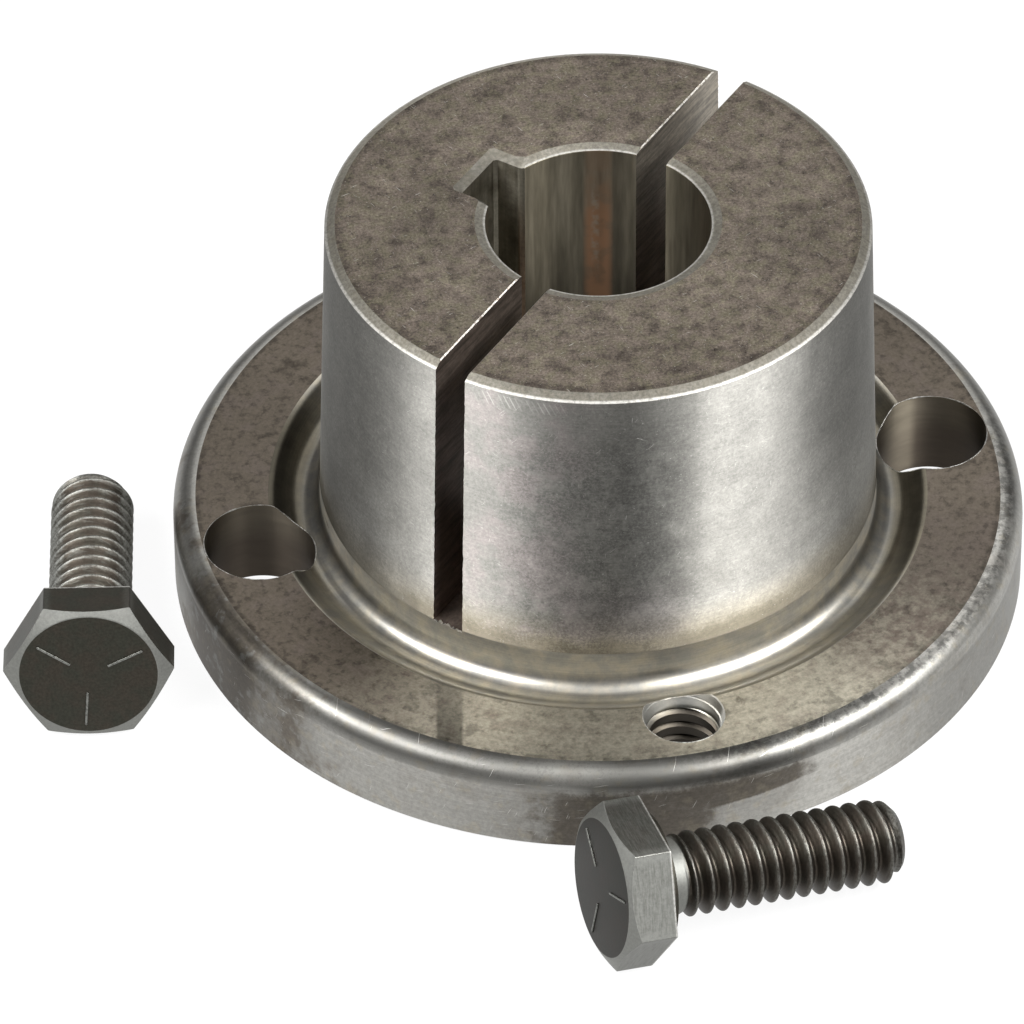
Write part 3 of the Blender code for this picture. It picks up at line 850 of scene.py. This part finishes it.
screw = {
    "length": 18.9, "radius": 3.1, "pitch": 1.27, "depth": 0.779, "turns": 20, "threadBelow": 3,
    "neck": (1.6, 2.8), "runOut": 0.6, "point": 0.8, "washer": (5.2, 0.4), "fillet": 0.4,
    "acrossFlats": 10.9, "headHeight": 3.85, "faceCircle": 10.3, "edge": 0.06,
    "mark": (1.6, 4.5, 0.18, 0.1), "markEdge": 0.06, "markAngles": (27, 146, 266), "steps": 64,
}


def shankTool():
    # a rolled thread along Z that fades into the neck and is chamfered at the point
    crest, pitch = screw["radius"], screw["pitch"]
    root = crest - screw["depth"]
    neckEnd, neck = screw["neck"]
    # one pitch of the form, with a rounded root and a rounded crest
    form = [(root, 0), (root + 0.012, 0.07), (root + 0.06, 0.14), (root + 0.39, 0.33), (crest - 0.06, 0.52),
            (crest - 0.012, 0.575), (crest, 0.635), (crest - 0.012, 0.695), (crest - 0.06, 0.75),
            (root + 0.39, 0.94), (root + 0.06, 1.13), (root + 0.012, 1.2)]
    bm = threadedTube(form, pitch, screw["turns"], screw["steps"])
    shift(bm, 0, 0, -screw["threadBelow"])
    cutFlat(bm, screw["length"], True)
    cutFlat(bm, -screw["headHeight"] / 2, False)
    for vert in bm.verts:
        r, z = Vector((vert.co.x, vert.co.y)).length / mm, vert.co.z / mm
        if r > 0.1:
            mix = min(max((z - neckEnd) / screw["runOut"], 0), 1)
            wanted = neck + (r - neck) * mix * mix * (3 - 2 * mix)
            wanted = min(wanted, crest - screw["point"] + screw["length"] - z)
            vert.co.x *= wanted / r
            vert.co.y *= wanted / r
    bmesh.ops.recalc_face_normals(bm, faces=bm.faces)
    return finished("shank", bm)


def collarTool():
    # the washer face under the head, with the fillet that runs into the neck
    radius, fillet, neck = screw["washer"][0], screw["fillet"], screw["neck"][1]
    inside = -screw["headHeight"] / 2
    arc = arcPoints((neck - 0.02 + fillet, fillet), fillet, -90, -180, 6)
    outline = [(0, inside), (radius, inside), (radius, -0.08), (radius - 0.03, -0.02), (radius - 0.08, 0)]
    outline += arc + [(0, fillet)]
    return finished("collar", turnedShape(outline, screw["steps"], closed=False))


def headBlank():
    # a hexagon bar with soft edges, cut back at its corners by the head's chamfer cone
    corner = screw["acrossFlats"] / sqrt(3)
    bm = bmesh.new()
    bmesh.ops.create_circle(bm, cap_ends=True, segments=6, radius=corner * mm)
    shift(bm, 0, 0, -screw["headHeight"])
    raised = bmesh.ops.extrude_face_region(bm, geom=bm.faces[:])["geom"]
    raised = [v for v in raised if isinstance(v, bmesh.types.BMVert)]
    bmesh.ops.translate(bm, verts=raised, vec=(0, 0, (screw["headHeight"] - screw["washer"][1]) * mm))
    bmesh.ops.recalc_face_normals(bm, faces=bm.faces)
    soft = [e for e in bm.edges if max(v.co.z for v in e.verts) > -mm]
    soften(bm, soft, screw["edge"], 3)
    head = finished("head", bm)
    flat, low = screw["faceCircle"] / 2, -screw["headHeight"]
    reach = corner + 1
    drop = (reach - flat) * tan(radians(30))
    outline = [(0, low), (flat - 0.12, low), (flat - 0.04, low + 0.012), (flat + 0.04, low + 0.055),
               (reach, low + drop), (reach, 1), (0, 1)]
    cone = finished("cone", turnedShape(outline, 128, closed=False))
    return combined(head, [cone], "INTERSECT")


def markTool(angle):
    # one raised dash of the grade mark on the head's face
    near, far, width, tall = screw["mark"]
    size = ((far - near) * mm, width * mm, 2 * tall * mm, 1)
    bm = bmesh.new()
    bmesh.ops.create_cube(bm, size=1, matrix=Matrix.Diagonal(size))
    soften(bm, bm.edges[:], screw["markEdge"], 2)
    shift(bm, (far + near) / 2, 0, -screw["headHeight"])
    swing(bm, angle)
    return finished("mark", bm)


def screwPlace(place, heading):
    # where a screw lies: on one flat of its head and on the last crest of its thread
    edge = Vector((-screw["washer"][1], 0, -screw["acrossFlats"] / 2))
    line = Vector((screw["length"] - screw["point"], 0, -screw["radius"])) - edge
    turn = Matrix.Rotation(radians(heading), 4, "Z") @ Matrix.Rotation(atan2(line.z, line.x), 4, "Y")
    return Matrix.Translation(Vector((*place, -(turn @ edge).z)) * mm) @ turn


def capScrew(name, node, place, heading, wear):
    # built along Z, turned to lie along X as the CAD's screw does, then laid down
    laid = screwPlace(place, heading)
    marks = [markTool(-90 - angle) for angle in screw["markAngles"]]
    piece = combined(headBlank(), [shankTool(), collarTool()] + marks, "UNION")
    piece.name = piece.data.name = name
    piece.data.transform(laid @ Matrix.Rotation(pi / 2, 4, "Y"))
    piece.data.materials.clear()
    piece.data.materials.append(screwLook(name, laid, wear))
    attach(piece, "root")
    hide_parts(node)
    print("screw made:", name, len(piece.data.polygons), "faces")


# node, place of the head's lower edge, heading, and how far each surface is worn bright; face sets the painted
# shade on the head's end face
screws = {
    "capScrewLeft": ("cap_screw_left", (-40.103, -6.1), 77.7,
                     {"sides": 0.35, "top": 0.0, "thread": 1.0, "shank": 0.5, "face": 1.0}),
    "capScrewRight": ("cap_screw_right", (-6.1, -40.303), 7.3,
                      {"sides": 0.95, "top": 0.45, "thread": 0.65, "shank": 0.0, "face": 0.55}),
}
for name, values in screws.items():
    capScrew(name, *values)


# small burrs that the saw left

# the rings go to the holes at the right, left, front and back, each with its radius
burrs = {"floorLip": (0.34, 0.16), "holeEdge": 0.045,
         "rings": ((1, 0, 4.16), (-1, 0, 4.16), (0, -1, 3.01), (0, 1, 3.01))}


def floorLip():
    # the jagged lip where the blade left the barrel at the slot's floor
    tall, thick = burrs["floorLip"]
    half = slot["width"] / 2
    stations = [-half + slot["width"] * i / 60 for i in range(61)]
    bm = straightBar([(0, -0.12), (thick / 2, 0), (0, tall), (-thick / 2, 0)], stations)
    for vert in bm.verts:
        along, across, z = vert.co / mm
        jag = 0.5 + 0.9 * noise.noise((along * 3.1, 2.2, 0.4)) + 0.9 * noise.noise((along * 9.7, 1.3, 5.1))
        end = max(0.02, 1 - abs(along / half) ** 6)
        z *= max(jag, 0.08) * end if z > 0 else 1
        across += 0.08 * noise.noise((along * 4, 7.7, z)) - (0.06 if z > 0.02 else 0)
        out = -sqrt(barrelRadius(slot["floor"]) ** 2 - (along + slot["offset"]) ** 2) + 0.03 + across
        vert.co = Vector((out, along + slot["offset"], slot["floor"] + z)) * mm
    bmesh.ops.recalc_face_normals(bm, faces=bm.faces)
    swing(bm, slot["angle"])
    return finished("floorLip", bm, [looks["burr"]])


def holeEdge(side, back, radius):
    # the thin turned-up edge round a hole, which follows the flange's face down into the groove
    thick = burrs["holeEdge"]
    bm = turnedShape([(radius + x, z) for x, z in arcPoints((0, 0), thick, 0, 315, 7)], 160)
    for vert in bm.verts:
        x, y, z = vert.co / mm
        r = Vector((x, y)).length
        ring = Vector((x, y)) / r * radius
        size = max(0.1, 0.55 + 1.2 * noise.noise((ring.x * 0.6, ring.y * 0.6, side + 2.0 * back)))
        centre = Vector((side, back)) * holeCircle
        out = centre + ring / radius * (radius + (r - radius) * size)
        vert.co = Vector((out.x, out.y, flangeHeight((ring + centre).length) + z * size)) * mm
    return finished("holeEdge", bm, [looks["burr"]])


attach(floorLip(), "root")
for ring in burrs["rings"]:
    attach(holeEdge(*ring), "root")
print("burrs made")


# floor, light and camera

# each softbox has an azimuth, an elevation, a distance, a size and a power
studio = {
    "floor": 0.8, "glow": 0.93, "world": 0.17,
    "left": (-60, 48, 450, (290, 120), 3.9),
    "right": (61, 48, 450, (300, 120), 4.7),
    "over": (0, 78, 600, (420, 320), 0.7),
    "back": (175, 42, 700, (500, 260), 1.2),
}


def floorLook():
    # a pale diffuse floor that shows white to the camera and in reflections
    material = emptyMaterial("paleFloor")
    nodes, links = material.node_tree.nodes, material.node_tree.links
    path = nodes.new("ShaderNodeLightPath").outputs
    seen = Wire(path["Is Camera Ray"]) + Wire(path["Is Glossy Ray"]) + Wire(path["Is Transmission Ray"])
    diffuse = seen.node("BsdfDiffuse", {"Color": (*[studio["floor"]] * 3, 1)})
    glow = seen.node("Emission", {"Color": (1, 1, 1, 1), "Strength": 1})
    mixed = seen.node("MixShader", {0: seen * studio["glow"], 1: diffuse, 2: glow})
    links.new(mixed.socket, nodes.new("ShaderNodeOutputMaterial").inputs[0])
    return material


bm = bmesh.new()
bmesh.ops.create_grid(bm, x_segments=1, y_segments=1, size=3)
finished("floor", bm, [floorLook()])

world = bpy.data.worlds.new("studio")
bpy.context.scene.world = world
world.use_nodes = True
world.node_tree.nodes["Background"].inputs["Color"].default_value = (1, 1, 1, 1)
world.node_tree.nodes["Background"].inputs["Strength"].default_value = studio["world"]


def softbox(name, azimuth, elevation, distance, size, power):
    # azimuths go from the camera's side to the right of the picture
    a, e = radians(azimuth - photoTurn - 90), radians(elevation)
    spot = Vector((cos(a) * cos(e), sin(a) * cos(e), sin(e))) * distance * mm
    light = bpy.data.lights.new(name, "AREA")
    light.shape = "RECTANGLE"
    light.size, light.size_y = size[0] * mm, size[1] * mm
    light.energy = power
    obj = bpy.data.objects.new(name, light)
    obj.location = spot
    obj.rotation_euler = (-spot + Vector((0, 0, 0.015))).to_track_quat("-Z", "Y").to_euler()
    bpy.context.scene.collection.objects.link(obj)


for name in ("left", "right", "over", "back"):
    softbox(name + "Softbox", *studio[name])

camera = {"elevation": 41.434, "distance": 724.469, "shiftRight": -6.421, "shiftUp": 3.518, "roll": -0.335,
          "lens": 338.81}


def makeCamera():
    e, roll, turn = radians(camera["elevation"]), radians(camera["roll"]), radians(-photoTurn)
    right, up, back = Vector((1, 0, 0)), Vector((0, sin(e), cos(e))), Vector((0, -cos(e), sin(e)))
    eye = (right * camera["shiftRight"] + up * camera["shiftUp"] + back * camera["distance"]) * mm
    axes = (right * cos(roll) + up * sin(roll), -right * sin(roll) + up * cos(roll), back)
    turned = Matrix.Rotation(turn, 4, "Z")
    data = bpy.data.cameras.new("camera")
    data.lens, data.sensor_width = camera["lens"], 36
    data.clip_start, data.clip_end = 0.01, 20
    obj = bpy.data.objects.new("camera", data)
    obj.matrix_world = turned @ (Matrix.Translation(eye) @ Matrix(axes).transposed().to_4x4())
    bpy.context.scene.collection.objects.link(obj)
    bpy.context.scene.camera = obj


makeCamera()
bpy.context.scene.view_settings.view_transform = "Standard"
